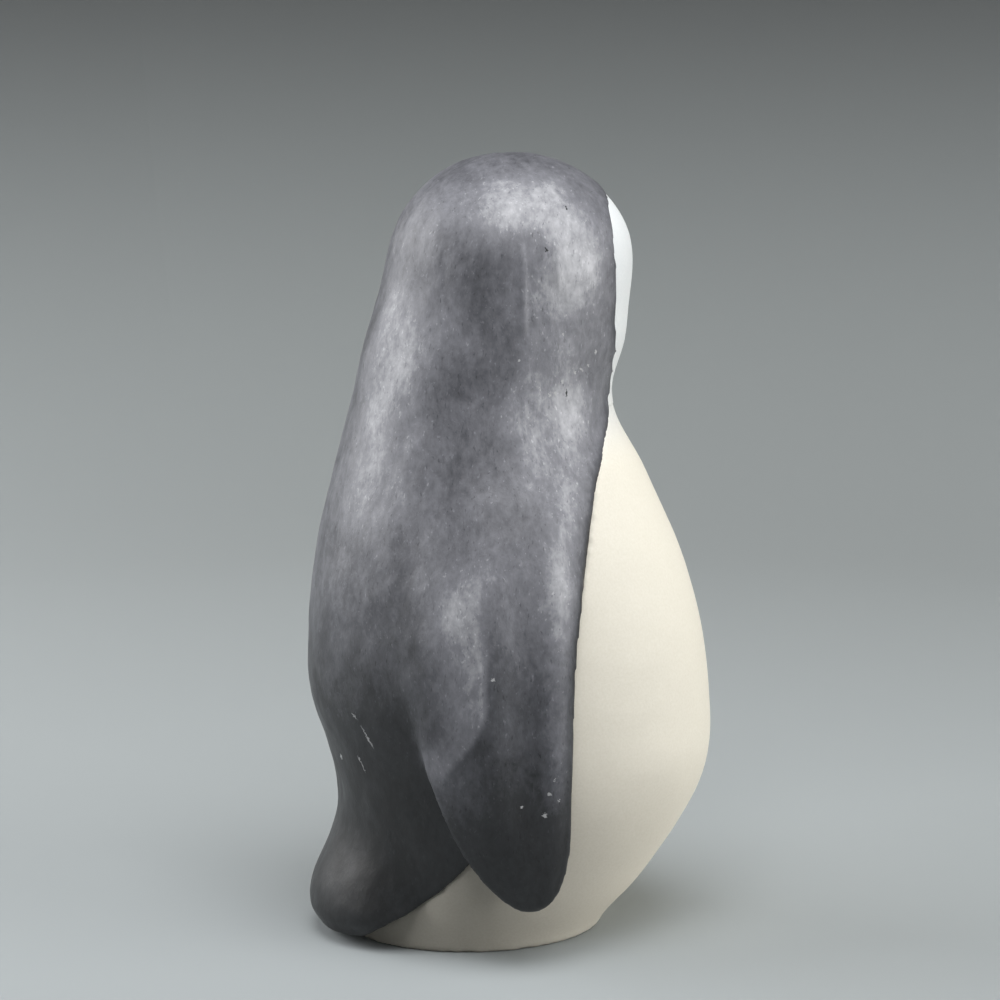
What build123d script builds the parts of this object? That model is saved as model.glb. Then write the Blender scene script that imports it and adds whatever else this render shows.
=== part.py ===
from build123d import *

import math
import os

# Penguin figurine in millimetres: +Z up, the front towards -Y, its right side towards -X,
# the origin in the middle of the flat foot that it stands on.

# Outline of the figure: how far each station stands above the one below it, and how far the figure
# reaches there to the front, the back and each side
FOOT_FRONT = 28.0
FOOT_BACK = 25.5
FOOT_SIDE = 22.3
SKIRT_RISE = 16.0
SKIRT_FRONT = 40.5
SKIRT_BACK = 26.3
SKIRT_SIDE = 31.0
LAP_RISE = 17.0
LAP_FRONT = 50.0
LAP_BACK = 28.1
LAP_SIDE = 36.4
BELLY_RISE = 19.0
BELLY_FRONT = 50.6
BELLY_BACK = 33.4
BELLY_SIDE = 38.2
CHEST_RISE = 26.0
CHEST_FRONT = 44.9
CHEST_BACK = 32.3
CHEST_SIDE = 36.2
SHOULDER_RISE = 21.0
SHOULDER_FRONT = 35.3
SHOULDER_BACK = 27.5
SHOULDER_SIDE = 31.0
NECK_RISE = 12.0
NECK_FRONT = 29.5
NECK_BACK = 24.3
NECK_SIDE = 27.2
JAW_RISE = 11.0
JAW_FRONT = 32.1
JAW_BACK = 21.4
JAW_SIDE = 26.2
CHEEK_RISE = 15.0
CHEEK_FRONT = 33.8
CHEEK_BACK = 17.1
CHEEK_SIDE = 25.4
CROWN_RISE = 23.6
CROWN_FORWARD = 9.0
SKIRT_HEIGHT = SKIRT_RISE
LAP_HEIGHT = SKIRT_HEIGHT + LAP_RISE
BELLY_HEIGHT = LAP_HEIGHT + BELLY_RISE
CHEST_HEIGHT = BELLY_HEIGHT + CHEST_RISE
SHOULDER_HEIGHT = CHEST_HEIGHT + SHOULDER_RISE
NECK_HEIGHT = SHOULDER_HEIGHT + NECK_RISE
JAW_HEIGHT = NECK_HEIGHT + JAW_RISE
CHEEK_HEIGHT = JAW_HEIGHT + CHEEK_RISE
CROWN_HEIGHT = CHEEK_HEIGHT + CROWN_RISE

# Turn of the head to its left, growing from above the chest to below the jaw
HEAD_TURN = 32.0
TURN_ABOVE_CHEST = 8.0
TURN_BELOW_JAW = 2.0
TURN_START_HEIGHT = CHEST_HEIGHT + TURN_ABOVE_CHEST
TURN_END_HEIGHT = JAW_HEIGHT - TURN_BELOW_JAW

# Walls: the hollow pale casting, the dark coat let into it and the white face let into it
CASTING_WALL = 6.0
COAT_THICKNESS = 2.5
COAT_PROUD = 0.5
FACE_THICKNESS = 2.8
JOINT_GAP = 0.15

# Edge of the dark coat: heights set off from the outline's stations, and degrees round from the facing there
HEM_HEIGHT = 1.5
HEM_ANGLE = 164.0
RUMP_HEIGHT = 6.0
RUMP_ANGLE = 144.0
FLANK_HEIGHT = 12.0
FLANK_ANGLE = 127.0
THIGH_HEIGHT = 22.0
THIGH_ANGLE = 115.0
WAIST_HEIGHT = BELLY_HEIGHT + 8.0
WAIST_ANGLE = 91.0
BREAST_HEIGHT = SHOULDER_HEIGHT - 8.0
BREAST_ANGLE = 68.5
COLLAR_HEIGHT = SHOULDER_HEIGHT + 4.0
COLLAR_ANGLE = 65.0
THROAT_HEIGHT = NECK_HEIGHT - 0.5
THROAT_ANGLE = 57.0
CHIN_HEIGHT = JAW_HEIGHT - 2.0
CHIN_ANGLE = 68.5
TEMPLE_HEIGHT = CHEEK_HEIGHT + 4.0
TEMPLE_ANGLE = 79.0
BROW_SIDE_HEIGHT = CROWN_HEIGHT - 11.6
BROW_SIDE_ANGLE = 71.0
BROW_CORNER_HEIGHT = CROWN_HEIGHT - 8.1
BROW_CORNER_ANGLE = 52.0
BROW_HEIGHT = CROWN_HEIGHT - 5.6
FACE_FOOT_HEIGHT = THROAT_HEIGHT - 1.0

# Flippers: curved blades that lie on the flanks and hang straight below the belly, free of them
FLIPPER_ROOT_HEIGHT = SHOULDER_HEIGHT + 1.0
FLIPPER_ROOT_LENGTH = 32.0
FLIPPER_ROOT_FORWARD = 10.0
FLIPPER_TIP_LENGTH = 55.0
FLIPPER_BROAD_HEIGHT = FLIPPER_ROOT_HEIGHT - FLIPPER_ROOT_LENGTH
FLIPPER_TIP_HEIGHT = FLIPPER_BROAD_HEIGHT - FLIPPER_TIP_LENGTH
FLIPPER_TIP_FORWARD = 4.6
FLIPPER_FRONT_TOP = 18.4
FLIPPER_FRONT_BROAD = 13.2
FLIPPER_FRONT_LOW = 12.0
FLIPPER_BACK = -18.2
FLIPPER_THICKNESS = 5.0
FLIPPER_SINK = 3.5
FLIPPER_TIP_LEAN = 2.0
FLIPPER_PEG_RADIUS = 1.6
FLIPPER_PEG_GRIP = 2.4
FLIPPER_PEG_DEPTH = 5.0
FLIPPER_PEG_LOW_HEIGHT = FLIPPER_BROAD_HEIGHT - 10.0
FLIPPER_PEG_HIGH_HEIGHT = FLIPPER_BROAD_HEIGHT + 8.0
FLIPPER_PEG_FORWARD = 1.0

# Tail: a rounded lobe behind the hem
TAIL_TOP_HEIGHT = 27.0
TAIL_HEIGHT = 7.0
TAIL_BOTTOM_HEIGHT = 1.2
TAIL_REACH = 8.2
TAIL_ROUND = 20.0
TAIL_HALF_WIDTH = 22.0
TAIL_PEG_RADIUS = 1.5
TAIL_PEG_GRIP = 2.8
TAIL_PEG_DEPTH = 5.0
TAIL_PEG_SPACING = 14.0

# Beak and eyes, placed round the head from the way that it faces
BEAK_HEIGHT = CHEEK_HEIGHT - 5.0
BEAK_LENGTH = 8.5
BEAK_HALF_WIDTH = 5.0
BEAK_HALF_HEIGHT = 3.8
BEAK_DROOP = 1.6
BEAK_TENON_RADIUS = 2.0
BEAK_TENON_LENGTH = 4.5
BEAK_TENON_ROOT = 3.0
EYE_HEIGHT = CHEEK_HEIGHT + 4.5
EYE_ANGLE = 25.0
EYE_RADIUS = 1.7

# Foot: a plug that closes the hollow, with a vent, and a felt disc over it
PLUG_LEDGE = 2.5
PLUG_THICKNESS = 4.0
VENT_RADIUS = 2.5
FELT_THICKNESS = 1.2

# How finely the smooth forms are sampled, and how far cutting forms run past the figure
ROW_COUNT = 18
DOME_ANGLES = (18.0, 36.0, 52.0, 66.0, 78.0)
CUT_REACH = 120.0
CUT_MARGIN = 12.0

# Flipper form: rows from tip to root, and its rounded section as shares of the chord and the thickness
FLIPPER_ROW_ANGLES = (-84.0, -77.0, -68.0, -57.0, -44.0, -29.0, -12.0, 8.0, 30.0, 52.0, 72.0)
FLIPPER_OUTSIDE = ((0.0, 0.35), (0.08, 0.8), (0.35, 1.0), (0.7, 0.85), (1.0, 0.1))
FLIPPER_INSIDE = ((0.7, -1.0), (0.35, -1.0), (0.08, -0.25))
FLIPPER_FRONT_SQUARENESS = 10
FLIPPER_BACK_FULLNESS = 0.6
FLIPPER_TIP_TAPER = 0.4
FLIPPER_ROOT_TAPER = 1.0

# Tail form below and above its broadest height, and beak form, as shares of height or length and of reach
TAIL_BELOW = ((0.0, 0.45), (0.35, 0.82), (1.0, 1.0))
TAIL_ABOVE = ((0.35, 0.72), (0.7, 0.25), (1.0, -0.05))
BEAK_ROWS = ((-0.4, 1.0), (0.0, 1.0), (0.3, 0.84), (0.6, 0.54), (0.85, 0.22))


def smooth(stations, height, end_slope=None):
    """Value at a height on a smooth line through the (height, value) stations."""
    if height <= stations[0][0]:
        return stations[0][1]
    if height >= stations[-1][0]:
        return stations[-1][1]
    slopes = [(b[1] - a[1]) / (b[0] - a[0]) for a, b in zip(stations, stations[1:])]
    tangents = [slopes[0]]
    for before, here, after, low, high in zip(stations, stations[1:], stations[2:], slopes, slopes[1:]):
        share = (here[0] - before[0]) / (after[0] - before[0])
        tangents.append(low * (1 - share) + high * share)
    tangents.append(slopes[-1] if end_slope is None else end_slope)
    span = next(i for i in range(len(slopes)) if height <= stations[i + 1][0])
    (z0, v0), (z1, v1) = stations[span], stations[span + 1]
    width = z1 - z0
    t = (height - z0) / width
    rise = (3 - 2 * t) * t * t
    bend_start = tangents[span] * width * t * (1 - t) ** 2
    bend_end = tangents[span + 1] * width * t * t * (t - 1)
    return v0 + (v1 - v0) * rise + bend_start + bend_end


OUTLINE = [
    (0.0, FOOT_FRONT, FOOT_BACK, FOOT_SIDE),
    (SKIRT_HEIGHT, SKIRT_FRONT, SKIRT_BACK, SKIRT_SIDE),
    (LAP_HEIGHT, LAP_FRONT, LAP_BACK, LAP_SIDE),
    (BELLY_HEIGHT, BELLY_FRONT, BELLY_BACK, BELLY_SIDE),
    (CHEST_HEIGHT, CHEST_FRONT, CHEST_BACK, CHEST_SIDE),
    (SHOULDER_HEIGHT, SHOULDER_FRONT, SHOULDER_BACK, SHOULDER_SIDE),
    (NECK_HEIGHT, NECK_FRONT, NECK_BACK, NECK_SIDE),
    (JAW_HEIGHT, JAW_FRONT, JAW_BACK, JAW_SIDE),
    (CHEEK_HEIGHT, CHEEK_FRONT, CHEEK_BACK, CHEEK_SIDE),
]
MIDDLES = [(z, (front - back) / 2) for z, front, back, side in OUTLINE] + [(CROWN_HEIGHT, CROWN_FORWARD)]
DEPTHS = [(z, (front + back) / 2) for z, front, back, side in OUTLINE]
SIDES = [(z, side) for z, front, back, side in OUTLINE]


def row(height, inset=0.0):
    """Middle (how far forward), half depth and half width at a height, drawn in by an inset."""
    middle = smooth(MIDDLES, height)
    depth = smooth(DEPTHS, height, 0.0) - inset
    side = smooth(SIDES, height, 0.0) - inset
    rise = max(0.0, height - CHEEK_HEIGHT) / (CROWN_HEIGHT - inset - CHEEK_HEIGHT)
    dome = math.sqrt(max(0.0, 1 - rise * rise))
    return middle, depth * dome, side * dome


def form(inset=0.0):
    """The whole figure as one smooth solid, drawn in from its outline by an inset."""
    top = CROWN_HEIGHT - inset
    heights = [CHEEK_HEIGHT * i / ROW_COUNT for i in range(ROW_COUNT + 1)]
    heights += [CHEEK_HEIGHT + (top - CHEEK_HEIGHT) * math.sin(math.radians(a)) for a in DOME_ANGLES]
    ovals = []
    for height in heights:
        middle, depth, side = row(height, inset)
        ovals.append(Pos(0, -middle, height) * Ellipse(side, depth))
    return loft(ovals + [Vertex(0, -smooth(MIDDLES, top), top)])


def turn(height):
    """Degrees that the figure's facing is turned to its left at a height."""
    share = (height - TURN_START_HEIGHT) / (TURN_END_HEIGHT - TURN_START_HEIGHT)
    share = min(1.0, max(0.0, share))
    return HEAD_TURN * share * share * (3 - 2 * share)


EDGE_ANGLES = [
    (HEM_HEIGHT, HEM_ANGLE),
    (RUMP_HEIGHT, RUMP_ANGLE),
    (FLANK_HEIGHT, FLANK_ANGLE),
    (THIGH_HEIGHT, THIGH_ANGLE),
    (WAIST_HEIGHT, WAIST_ANGLE),
    (BREAST_HEIGHT, BREAST_ANGLE),
    (COLLAR_HEIGHT, COLLAR_ANGLE),
    (THROAT_HEIGHT, THROAT_ANGLE),
    (CHIN_HEIGHT, CHIN_ANGLE),
    (TEMPLE_HEIGHT, TEMPLE_ANGLE),
    (BROW_SIDE_HEIGHT, BROW_SIDE_ANGLE),
    (BROW_CORNER_HEIGHT, BROW_CORNER_ANGLE),
    (BROW_HEIGHT, 0.0),
]


def behind_coat_edge(shift=0.0):
    """Region behind the edge of the dark coat, with the edge shifted forwards."""
    spread = [HEM_HEIGHT + (BROW_SIDE_HEIGHT - HEM_HEIGHT) * i / ROW_COUNT for i in range(ROW_COUNT + 1)]
    heights = [HEM_HEIGHT - CUT_MARGIN] + spread
    heights += [BROW_CORNER_HEIGHT, BROW_HEIGHT, CROWN_HEIGHT + CUT_MARGIN]
    slabs = []
    for height in heights:
        middle, depth, side = row(min(max(height, 0.0), BROW_HEIGHT))
        edge = depth * math.cos(math.radians(smooth(EDGE_ANGLES, height))) + shift
        slab = Pos(0, (CUT_REACH - edge) / 2) * Rectangle(2 * CUT_REACH, CUT_REACH + edge)
        slabs.append(Pos(0, -middle, height) * Rot(0, 0, turn(height)) * slab)
    return loft(slabs)


def flank(forward, height):
    """Point on the left flank at a forward distance and a height, and the way out from it, in plan."""
    middle, depth, side = row(height)
    share = (forward - middle) / depth
    across = math.sqrt(1 - share * share)
    return Vector(side * across, -forward), Vector(across / side, -share / depth).normalized()


FLIPPER_FRONTS = [
    (FLIPPER_TIP_HEIGHT, FLIPPER_FRONT_LOW),
    (FLIPPER_BROAD_HEIGHT, FLIPPER_FRONT_BROAD),
    (FLIPPER_ROOT_HEIGHT, FLIPPER_FRONT_TOP),
]


def flipper_blade():
    """Left flipper before it is cut to the flank: rounded sections that follow it down to the belly."""
    sections = []
    for angle in FLIPPER_ROW_ANGLES:
        t = math.sin(math.radians(angle))
        if t < 0:
            height = FLIPPER_BROAD_HEIGHT + t * (FLIPPER_BROAD_HEIGHT - FLIPPER_TIP_HEIGHT)
            end = FLIPPER_TIP_FORWARD
            taper = FLIPPER_TIP_TAPER
            sink = FLIPPER_SINK * (1 - t * t) ** taper
        else:
            height = FLIPPER_BROAD_HEIGHT + t * (FLIPPER_ROOT_HEIGHT - FLIPPER_BROAD_HEIGHT)
            end = FLIPPER_ROOT_FORWARD
            taper = FLIPPER_ROOT_TAPER
            sink = FLIPPER_SINK
        edge = smooth(FLIPPER_FRONTS, height)
        front = end + (edge - end) * math.sqrt(1 - abs(t) ** FLIPPER_FRONT_SQUARENESS)
        back = end + (FLIPPER_BACK - end) * (1 - t * t) ** FLIPPER_BACK_FULLNESS
        thickness = FLIPPER_THICKNESS * (1 - t * t) ** taper
        hang = max(0.0, BELLY_HEIGHT - height)
        lean = FLIPPER_TIP_LEAN * (hang / (BELLY_HEIGHT - FLIPPER_TIP_HEIGHT)) ** 2
        stands = [(along, out * thickness - lean) for along, out in FLIPPER_OUTSIDE]
        stands += [(along, out * sink - lean) for along, out in FLIPPER_INSIDE]
        points = []
        for along, stand in stands:
            spot, way = flank(front + along * (back - front), height + hang)
            points.append(spot + way * stand)
        sections.append(Pos(0, 0, height) * make_face(Spline(*points, periodic=True)))
    return loft(sections)


def flipper_pegs(clearance=0.0):
    """Two pegs across the left flank, from inside the casting's wall into the flipper."""
    pegs = []
    for height in (FLIPPER_PEG_LOW_HEIGHT, FLIPPER_PEG_HIGH_HEIGHT):
        spot, way = flank(FLIPPER_PEG_FORWARD, height)
        length = FLIPPER_PEG_DEPTH + FLIPPER_PEG_GRIP + 2 * clearance
        middle = spot.X + (FLIPPER_PEG_GRIP - FLIPPER_PEG_DEPTH) / 2
        peg = Rot(0, 90, 0) * Cylinder(FLIPPER_PEG_RADIUS + clearance, length)
        pegs.append(Pos(middle, spot.Y, height) * peg)
    return pegs


def tail_lobe():
    """Tail before it is cut to the back: ovals that swell out behind the hem."""
    below = TAIL_HEIGHT - TAIL_BOTTOM_HEIGHT
    above = TAIL_TOP_HEIGHT - TAIL_HEIGHT
    swells = [(TAIL_BOTTOM_HEIGHT + up * below, out * TAIL_REACH) for up, out in TAIL_BELOW]
    swells += [(TAIL_HEIGHT + up * above, out * TAIL_REACH) for up, out in TAIL_ABOVE]
    ovals = []
    for height, swell in swells:
        middle, depth, side = row(height)
        back = depth - middle + swell
        ovals.append(Pos(0, back - TAIL_ROUND, height) * Ellipse(TAIL_HALF_WIDTH, TAIL_ROUND))
    return loft(ovals)


def tail_pegs(clearance=0.0):
    """Two pegs from inside the casting's wall, out at the back into the tail."""
    middle, depth, side = row(TAIL_HEIGHT)
    pegs = []
    for across in (-TAIL_PEG_SPACING / 2, TAIL_PEG_SPACING / 2):
        back = depth * math.sqrt(1 - (across / side) ** 2) - middle
        length = TAIL_PEG_DEPTH + TAIL_PEG_GRIP + 2 * clearance
        peg = Rot(90, 0, 0) * Cylinder(TAIL_PEG_RADIUS + clearance, length)
        pegs.append(Pos(across, back + (TAIL_PEG_GRIP - TAIL_PEG_DEPTH) / 2, TAIL_HEIGHT) * peg)
    return pegs


def on_head(angle, height):
    """Place on the head's surface, with its -Y pointing out, at an angle round from its facing."""
    middle, depth, side = row(height)
    way = math.radians(turn(height) + angle)
    reach = 1 / math.hypot(math.sin(way) / side, math.cos(way) / depth)
    return Pos(reach * math.sin(way), -middle - reach * math.cos(way), height) * Rot(0, 0, math.degrees(way))


def beak_cone():
    """Beak before it is cut to the face: a drooping rounded cone."""
    sections = []
    for along, size in BEAK_ROWS:
        oval = Ellipse(BEAK_HALF_WIDTH * size, BEAK_HALF_HEIGHT * size)
        droop = BEAK_DROOP * max(0.0, along)
        sections.append(Plane.XZ.offset(along * BEAK_LENGTH) * Pos(0, -droop) * oval)
    tip = Vertex(0, -BEAK_LENGTH, -BEAK_DROOP)
    return on_head(0, BEAK_HEIGHT) * loft(sections + [tip])


def beak_tenon(clearance=0.0):
    """Round tenon at the back of the beak, from inside it to inside the casting's wall."""
    length = BEAK_TENON_LENGTH + BEAK_TENON_ROOT + clearance
    tenon = Rot(90, 0, 0) * Cylinder(BEAK_TENON_RADIUS + clearance, length)
    back = (BEAK_TENON_LENGTH + clearance - BEAK_TENON_ROOT) / 2
    return on_head(0, BEAK_HEIGHT) * Pos(0, back, 0) * tenon


def eye_bead(angle):
    """Round bead, sunk until its back is just short of the back of the face."""
    sunk = FACE_THICKNESS - JOINT_GAP - EYE_RADIUS
    return on_head(angle, EYE_HEIGHT) * Pos(0, sunk, 0) * Sphere(EYE_RADIUS)


def eye_hole(angle):
    """Drilled hole through the face that the bead sits in."""
    depth = FACE_THICKNESS + JOINT_GAP
    hole = Rot(90, 0, 0) * Cylinder(EYE_RADIUS + JOINT_GAP, 2 * depth)
    return on_head(angle, EYE_HEIGHT) * hole


def oval_disc(bottom, thickness, inset):
    """Flat disc that follows the foot's outline, drawn in by an inset."""
    middle, depth, side = row(0.0, inset)
    return Pos(0, -middle, bottom) * extrude(Ellipse(side, depth), thickness)


def to_right(shape):
    """The same shape on the figure's right side."""
    return mirror(shape, about=Plane.YZ)


def both_sides(shapes):
    """Shapes of the left side, with their mirror images."""
    return list(shapes) + [to_right(shape) for shape in shapes]


# Regions: behind the coat's edge, and above the foot of the face
coat_region = behind_coat_edge()
coat_seat_region = behind_coat_edge(JOINT_GAP)
above_throat = Pos(0, 0, FACE_FOOT_HEIGHT + CUT_REACH / 2) * Box(2 * CUT_REACH, 2 * CUT_REACH, CUT_REACH)

# Pale casting: the outline, hollowed from below, with seats for the coat and the face
outside = form()
beyond = form(-COAT_THICKNESS)
pale_surface = form(COAT_PROUD)
coat_seat = (beyond - form(COAT_THICKNESS + JOINT_GAP)) & coat_seat_region
face_seat = ((beyond - form(FACE_THICKNESS + JOINT_GAP)) & above_throat) - coat_region
body_shell = pale_surface - form(CASTING_WALL) - coat_seat - face_seat

# Dark coat over the head and back, and the white face
back_mantle = (outside - form(COAT_THICKNESS)) & coat_region
face_mask = (pale_surface - form(FACE_THICKNESS)) & Pos(0, 0, JOINT_GAP) * above_throat
face_mask = face_mask - coat_seat_region

# Flippers and tail, cut to the surface that they lie on, with their pegs
seat_surface = form(-JOINT_GAP)
left_flipper = flipper_blade() - seat_surface - flipper_pegs(JOINT_GAP)
tail = ((tail_lobe() - seat_surface) & coat_region) - tail_pegs(JOINT_GAP)
peg_holes = both_sides(flipper_pegs(JOINT_GAP)) + tail_pegs(JOINT_GAP)
body_shell = body_shell - peg_holes
back_mantle = back_mantle - peg_holes

# Beak on its tenon, and holes for the eyes
beak = (beak_cone() - seat_surface) + beak_tenon()
face_mask = face_mask - beak_tenon(JOINT_GAP) - eye_hole(EYE_ANGLE) - eye_hole(-EYE_ANGLE)
body_shell = body_shell - beak_tenon(JOINT_GAP)

# Foot: the opening is stepped for the plug, and the felt lies flush with the casting's rim
plug_inset = CASTING_WALL - PLUG_LEDGE
body_shell = body_shell - oval_disc(0, FELT_THICKNESS + PLUG_THICKNESS, plug_inset)
vent = Pos(0, 0, FELT_THICKNESS + PLUG_THICKNESS / 2) * Cylinder(VENT_RADIUS, PLUG_THICKNESS)
base_plug = oval_disc(FELT_THICKNESS, PLUG_THICKNESS, plug_inset + JOINT_GAP) - vent
base_felt = oval_disc(0, FELT_THICKNESS, plug_inset + JOINT_GAP)

pieces = {
    "body_shell": body_shell,
    "back_mantle": back_mantle,
    "face_mask": face_mask,
    "left_flipper": left_flipper,
    "right_flipper": to_right(left_flipper),
    "flipper_pegs": Compound(both_sides(flipper_pegs())),
    "tail": tail,
    "tail_pegs": Compound(tail_pegs()),
    "beak": beak,
    "left_eye": eye_bead(EYE_ANGLE),
    "right_eye": eye_bead(-EYE_ANGLE),
    "base_plug": base_plug,
    "base_felt": base_felt,
}
os.makedirs("parts", exist_ok=True)
for name, piece in pieces.items():
    export_step(piece, f"parts/{name}.step")
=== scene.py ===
import math

import bmesh
import bpy
import numpy as np
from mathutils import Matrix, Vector


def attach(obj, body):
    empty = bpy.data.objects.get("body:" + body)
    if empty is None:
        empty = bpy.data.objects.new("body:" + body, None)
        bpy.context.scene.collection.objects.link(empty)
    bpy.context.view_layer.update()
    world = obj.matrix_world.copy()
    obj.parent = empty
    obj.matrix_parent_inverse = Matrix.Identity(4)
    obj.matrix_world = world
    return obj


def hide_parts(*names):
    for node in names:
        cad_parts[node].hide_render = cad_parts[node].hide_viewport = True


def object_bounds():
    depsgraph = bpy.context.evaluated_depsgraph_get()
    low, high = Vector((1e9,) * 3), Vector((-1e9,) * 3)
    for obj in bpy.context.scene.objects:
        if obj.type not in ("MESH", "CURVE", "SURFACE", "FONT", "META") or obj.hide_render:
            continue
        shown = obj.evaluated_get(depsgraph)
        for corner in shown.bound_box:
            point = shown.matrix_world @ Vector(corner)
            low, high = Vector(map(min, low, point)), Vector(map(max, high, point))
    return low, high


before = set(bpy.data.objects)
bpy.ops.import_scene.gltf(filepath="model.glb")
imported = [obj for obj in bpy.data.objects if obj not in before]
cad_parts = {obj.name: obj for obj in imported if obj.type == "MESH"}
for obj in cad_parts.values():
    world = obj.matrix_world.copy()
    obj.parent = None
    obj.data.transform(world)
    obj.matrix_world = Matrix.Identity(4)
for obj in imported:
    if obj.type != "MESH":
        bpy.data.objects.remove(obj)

# Painted penguin figurine. Metres, +Z up, the front towards -Y, its right side towards -X.
MM = 0.001
cad_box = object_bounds()

# Camera: the photo's picture size and focal length in pixels, and where it stands from the figure's axis
PICTURE_SIDE = 1000
FOCAL_PIXELS = 2600
AXIS_PIXEL = 470
SENSOR_SIDE = 36.0
CAMERA_REACH = 529 * MM
CAMERA_HEIGHT = 171 * MM
CAMERA_PITCH = math.radians(8.75)
CAMERA_YAW = math.radians(12.0)

# Skins of the painted pieces: how fine they are, and how far joints are closed before they are made
COAT_GRAIN = 0.6 * MM
COAT_SWELL = 0.25 * MM
CASTING_GRAIN = 0.9 * MM
CASTING_SWELL = 0.12 * MM
FACE_GRAIN = 0.45 * MM
FACE_SWELL = 0.15 * MM
BEAK_GRAIN = 0.25 * MM
MERGE_DISTANCE = 0.001 * MM
HIDDEN_SHARE = 0.12

# The figure's upright axis and the heights, in mm, where the head's dome starts and how round it is
AXIS_FORWARD = 7.0
DOME_START = 137.0
DOME_RADIUS = 23.6
STROKE_RADIUS = 30.0

# The head's turn to its left, and the heights, in mm, over which cream paint fades into white
HEAD_TURN = math.radians(32)
CREAM_TOP = 98.0
WHITE_FOOT = 116.0

# Heights, in mm, where flippers and tail melt into the back under the paint: start, full, fading and end. The
# rump melts less, from one place to another behind the middle
SHOULDER_SPAN = (44.0, 66.0, 112.0, 120.0)
RUMP_SPAN = (4.0, 12.0, 40.0, 54.0)
RUMP_BACK = (8.0, 20.0)
RUMP_SHARE = 0.4

# A flipper's blade, in mm: how far from the middle it begins, how far back its crest runs, and the hollow in
# front of the crest, with the heights where it starts, is full, fades and ends
BLADE_SIDE = (26.0, 33.0)
CREST_BACK = 5.5
HOLLOW_WIDTH = 17.0
HOLLOW_DEPTH = 1.9
HOLLOW_SPAN = (24.0, 42.0, 68.0, 88.0)

# How far the tail's sides are off the floor, between which places behind the middle, and how high up, in mm
TAIL_LIFT = 2.2
TAIL_SPAN = (0.0, 8.0, 23.0, 33.0)
TAIL_HEIGHTS = (3.0, 12.0)

# The coat's tone, 0 black to 1 grey: painted shade up to one height, and dust with painted top light from
# another
SHADED_FOOT_TONE, DUSTY_AND_TOP_LIT_TONE = 0.06, 0.58
SHADED_FOOT_TOP, TOP_LIT_FOOT = 16.0, 92.0

# Painted light and shade on a flipper's blade, in mm: a painted highlight band along the crest, which bends
# back towards the tip and has a softer edge higher up, a painted highlight on the rear of the tip, and painted
# shade in the hollow in front of the crest
BLADE_SPAN = (12.0, 30.0, 72.0, 90.0)
CREST_PAINTED_HIGHLIGHT = 0.34
CREST_BEND = 7.5
BEND_HEIGHTS = (38.0, 54.0)
BAND_HEIGHTS = (34.0, 46.0)
BAND_EDGE = (-1.5, 0.5)
BAND_FADE = (4.0, 13.0)
BAND_SOFT = 4.0
SOFT_HEIGHTS = (62.0, 80.0)
REAR_PAINTED_HIGHLIGHT = 0.27
REAR_BACK = (1.0, 10.0)
REAR_HEIGHTS = (40.0, 50.0)
HOLLOW_PAINTED_SHADE = -0.04
HOLLOW_FRONT = (-9.0, -3.0)
HOLLOW_END = (-2.0, 0.0)

# Painted shade along the coat's edge: how much blacker its tone is there, by height in mm
EDGE_PAINTED_SHADE = ((28, 0.0), (52, -0.14), (72, -0.40), (118, -0.40), (127, -0.26), (136, -0.12), (144, -0.02))

# How far the paint runs over the coat's edge, in mm, and how far round from the front its front edge goes, in
# degrees
EDGE_RUN = 0.6
FRONT_REACH = (95.0, 110.0)

# The front edge evened out from one height up: for its right side, -1, and its left, 1, up to which height and
# over which length, in mm. Its own line is read with a short blur
EVEN_FOOT = 26.0
EVEN_FADE = 8.0
EVEN_SIDES = ((-1, 98.0, 5.0), (1, 142.0, 9.0))
ROW_BLUR = 1.5

# Where smoothing drew the right front edge back: height, and how far it goes forward and out again there,
# in mm
EDGE_SHIFTS = (
    (90, 0.0, 0.0),
    (99, 0.6, 0.2),
    (105, 1.45, 0.3),
    (109.5, 1.6, 0.4),
    (113, 1.9, 0.75),
    (116, 1.2, 0.45),
    (119, 0.5, 0.25),
    (123, 0.8, 0.22),
    (127, 1.1, 0.25),
    (131.5, 1.6, 0.25),
    (136, 1.2, 0.2),
    (140.5, -0.2, 0.05),
    (146, 0.0, 0.0),
)

# Painted sheen and painted shade on the coat: places whose tone is raised for highlights or lowered for shade,
# alike on both sides: degrees round from the front, height, half width and half height in mm, and the change
# of tone
PAINTED_SHEEN_AND_SHADE_PLACES = (
    (101, 151, 16, 6, 0.32),
    (132, 154, 8, 5, -0.14),
    (65, 139.5, 8, 8.5, 0.34),
    (83, 132, 5, 11, 0.15),
    (62, 126, 8, 8, 0.08),
    (75, 111, 12, 8, 0.27),
    (82, 99, 9, 9, 0.17),
    (122, 112, 7, 9, -0.06),
    (151, 120, 10, 17, 0.26),
    (180, 125, 5, 20, -0.14),
    (148, 97, 14, 10, 0.12),
    (150, 72, 14, 10, 0.05),
    (98, 74, 9, 12, 0.23),
    (97, 47, 9, 12, 0.23),
    (79.5, 90, 3, 7, 0.16),
    (85.5, 74, 3, 17, 0.20),
    (87, 43, 3, 17, 0.24),
    (150, 50, 16, 9, -0.05),
    (138, 34, 11, 14, -0.10),
)

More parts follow.
